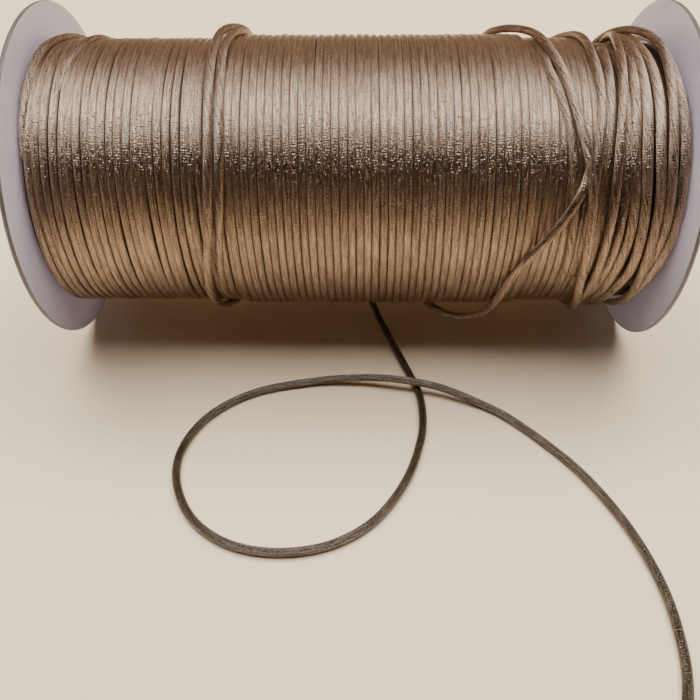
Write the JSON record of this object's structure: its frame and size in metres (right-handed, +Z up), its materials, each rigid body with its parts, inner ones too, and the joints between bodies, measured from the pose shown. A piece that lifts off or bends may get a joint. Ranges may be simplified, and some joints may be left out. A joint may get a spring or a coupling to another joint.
{
  "type": "spool of satin knotting cord",
  "caption": "Flanged plastic spool wound with thin taupe satin cord, a few slack turns crossing the winding and a loose end lying in one open loop beside it.",
  "frame": {"origin": "on the surface that the spool lies on, under the middle of the spool", "axes": "+X along the spool's axis, +Y away from the loose end's side, +Z up"},
  "size_m": [0.163, 0.1974, 0.089],
  "materials": {
    "frosted_plastic": "frosted, slightly see-through",
    "satin_cord": "satin, with fine filaments along the cord"
  },
  "bodies": {
    "root": {"flange_left": "frosted_plastic", "flange_right": "frosted_plastic", "winding": "satin_cord", "loose_end": "satin_cord"}
  },
  "joints": []
}
